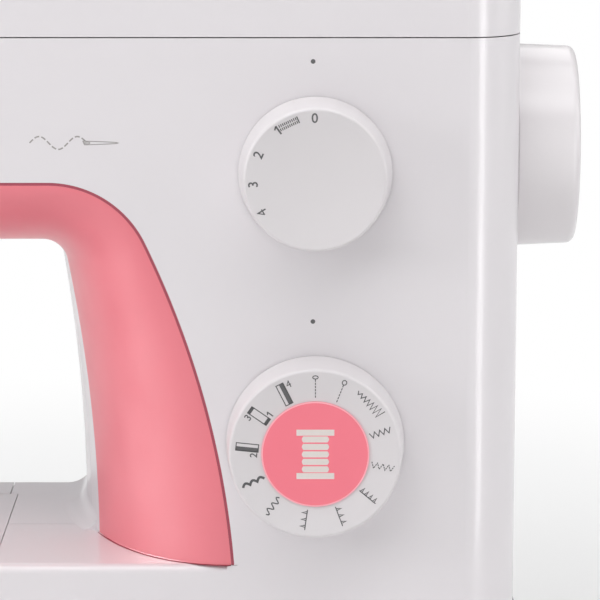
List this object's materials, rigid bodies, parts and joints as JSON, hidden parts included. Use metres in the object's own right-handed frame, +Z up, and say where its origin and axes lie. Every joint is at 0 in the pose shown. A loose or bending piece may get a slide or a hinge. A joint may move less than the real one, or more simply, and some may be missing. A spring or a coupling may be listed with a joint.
{
  "type": "sewing machine",
  "caption": "Household mechanical sewing machine with a free arm, flared throat panel, side handwheel and stitch length and pattern dials on the pillar.",
  "frame": {"origin": "centre of the overall box, on the surface the rubber feet stand on", "axes": "+X to the handwheel side, +Y to the back, +Z up; the dials face -Y"},
  "size_m": [0.376, 0.1484, 0.306],
  "materials": {
    "body_white": "satin moulded",
    "dial_white": "satin moulded",
    "panel_pink": "satin moulded",
    "base_grey": "moulded",
    "rubber_black": "matt",
    "cast_alloy": "as cast",
    "sintered_brass": "sintered",
    "polished_steel": "polished",
    "dull_steel": "turned",
    "gear_plastic": "moulded",
    "black_plastic": "moulded",
    "clear_plastic": "clear moulded",
    "lamp_white": "clear",
    "felt_white": "felt"
  },
  "bodies": {
    "machine": {"front_cover": "body_white", "rear_cover": "body_white", "face_cover": "body_white", "top_cover": "body_white", "throat_panel": "panel_pink", "base_plate": "base_grey", "rubber_feet": "rubber_black", "free_arm": "body_white", "main_frame": "cast_alloy", "shaft_bushes": "sintered_brass", "needle_plate": "polished_steel", "bobbin_cover": "clear_plastic", "bobbin_case": "black_plastic", "timing_belt": "rubber_black", "motor": "base_grey", "motor_belt": "rubber_black", "tension_discs": "polished_steel", "presser_spring": "polished_steel", "spool_felt": "felt_white", "switch_frame": "base_grey", "power_inlet": "black_plastic", "lamp": "lamp_white", "casing_screws": "polished_steel"},
    "main_drive": {"main_shaft": "dull_steel", "crank_disc": "dull_steel", "upper_timing_pulley": "gear_plastic", "drive_pulley": "gear_plastic", "handwheel": "body_white"},
    "lower_drive": {"lower_shaft": "dull_steel", "lower_timing_pulley": "gear_plastic", "hook_drive_gear": "gear_plastic"},
    "hook": {"rotary_hook": "polished_steel", "hook_gear": "gear_plastic"},
    "motor_rotor": {"motor_pulley": "gear_plastic"},
    "bobbin": {"bobbin": "clear_plastic"},
    "needle_swing": {"needle_bar_frame": "dull_steel"},
    "needle_unit": {"needle_bar": "polished_steel", "needle_clamp": "polished_steel", "needle": "polished_steel"},
    "take_up": {"take_up_lever": "polished_steel"},
    "presser": {"presser_bar": "polished_steel", "presser_foot": "polished_steel"},
    "lifter": {"presser_lifter": "dull_steel"},
    "feed_slider": {"feed_bar": "dull_steel"},
    "feed_lift": {"feed_dog": "polished_steel"},
    "length_control": {"stitch_length_dial": "dial_white", "length_cam": "base_grey"},
    "pattern_control": {"pattern_dial": "dial_white", "pattern_dial_cap": "panel_pink", "pattern_cams": "base_grey"},
    "tension_control": {"tension_dial": "body_white"},
    "reverse_control": {"reverse_lever": "body_white"},
    "winder_swing": {"winder_arm": "base_grey"},
    "winder_spin": {"winder_spindle": "polished_steel", "winder_tyre": "rubber_black"},
    "spool_holder": {"spool_pin": "polished_steel"},
    "handle": {"carry_handle": "body_white"},
    "switch": {"power_switch": "black_plastic"},
    "tray": {"accessory_tray": "body_white"},
    "tray_door": {"tray_lid": "body_white"}
  },
  "joints": [
    {"name": "handwheel_turn", "type": "hinge", "parent": "machine", "child": "main_drive", "pos_m": [0.17, 0.002, 0.2236], "axis": [1, 0, 0], "continuous": true},
    {"name": "lower_shaft_turn", "type": "hinge", "parent": "machine", "child": "lower_drive", "pos_m": [0, 0.002, 0.05], "axis": [1, 0, 0], "continuous": true},
    {"name": "hook_turn", "type": "hinge", "parent": "machine", "child": "hook", "pos_m": [-0.142, -0.016, 0.07], "axis": [0, 0, 1], "continuous": true},
    {"name": "motor_turn", "type": "hinge", "parent": "machine", "child": "motor_rotor", "pos_m": [0.153, 0.026, 0.046], "axis": [1, 0, 0], "continuous": true},
    {"name": "bobbin_turn", "type": "hinge", "parent": "machine", "child": "bobbin", "pos_m": [-0.142, -0.016, 0.07], "axis": [0, 0, 1], "continuous": true},
    {"name": "zigzag_swing", "type": "hinge", "parent": "machine", "child": "needle_swing", "pos_m": [-0.142, 0, 0.256], "axis": [0, 1, 0], "range_deg": [-1, 1]},
    {"name": "needle_stroke", "type": "slide", "parent": "needle_swing", "child": "needle_unit", "axis": [0, 0, 1], "range_m": [-0.033, 0]},
    {"name": "take_up_swing", "type": "hinge", "parent": "machine", "child": "take_up", "pos_m": [-0.1545, 0.006, 0.236], "axis": [1, 0, 0], "range_deg": [0, 36]},
    {"name": "presser_lift", "type": "slide", "parent": "machine", "child": "presser", "axis": [0, 0, 1], "range_m": [0, 0.006], "deforming": ["presser_spring"]},
    {"name": "lifter_swing", "type": "hinge", "parent": "machine", "child": "lifter", "pos_m": [-0.142, 0.03, 0.164], "axis": [1, 0, 0], "range_deg": [0, 50]},
    {"name": "feed_travel", "type": "slide", "parent": "machine", "child": "feed_slider", "axis": [0, 1, 0], "range_m": [-0.002, 0.002]},
    {"name": "feed_rise", "type": "slide", "parent": "feed_slider", "child": "feed_lift", "axis": [0, 0, 1], "range_m": [-0.0024, 0]},
    {"name": "length_dial_turn", "type": "hinge", "parent": "machine", "child": "length_control", "pos_m": [0.0942, -0.066, 0.2223], "axis": [0, 1, 0], "range_deg": [0, 122]},
    {"name": "pattern_dial_turn", "type": "hinge", "parent": "machine", "child": "pattern_control", "pos_m": [0.0942, -0.066, 0.1286], "axis": [0, 1, 0], "continuous": true},
    {"name": "tension_dial_turn", "type": "hinge", "parent": "machine", "child": "tension_control", "pos_m": [-0.116, -0.062, 0.226], "axis": [0, 1, 0], "range_deg": [-150, 150]},
    {"name": "reverse_press", "type": "hinge", "parent": "machine", "child": "reverse_control", "pos_m": [0.0942, -0.04, 0.048], "axis": [1, 0, 0], "range_deg": [0, 8], "stiffness_Nm_per_rad": 0.6, "springref_deg": -4.58},
    {"name": "winder_engage", "type": "hinge", "parent": "machine", "child": "winder_swing", "pos_m": [0.1325, 0.034, 0.256], "axis": [0, 0, 1], "range_deg": [0, 8.5]},
    {"name": "winder_turn", "type": "hinge", "parent": "winder_swing", "child": "winder_spin", "pos_m": [0.1325, 0.002, 0.256], "axis": [0, 0, 1], "continuous": true},
    {"name": "spool_pin_pull", "type": "slide", "parent": "machine", "child": "spool_holder", "axis": [0, 0, 1], "range_m": [0, 0.038]},
    {"name": "handle_raise", "type": "hinge", "parent": "machine", "child": "handle", "pos_m": [-0.012, -0.01, 0.283], "axis": [1, 0, 0], "range_deg": [0, 90]},
    {"name": "power_rocker", "type": "hinge", "parent": "machine", "child": "switch", "pos_m": [0.16, -0.024, 0.055], "axis": [0, 1, 0], "range_deg": [-5, 5]},
    {"name": "tray_slide", "type": "slide", "parent": "machine", "child": "tray", "axis": [1, 0, 0], "range_m": [-0.17, 0]},
    {"name": "tray_flap", "type": "hinge", "parent": "tray", "child": "tray_door", "pos_m": [-0.104, -0.05675, 0.02125], "axis": [1, 0, 0], "range_deg": [0, 90]}
  ],
  "couplings": [
    {"joint": "lower_shaft_turn", "follows": "handwheel_turn", "ratio": 1},
    {"joint": "hook_turn", "follows": "handwheel_turn", "ratio": 2},
    {"joint": "motor_turn", "follows": "handwheel_turn", "ratio": 3.3333},
    {"joint": "take_up_swing", "follows": "needle_stroke", "rad_per_m": -19.04},
    {"joint": "lifter_swing", "follows": "presser_lift", "rad_per_m": 145.44}
  ]
}
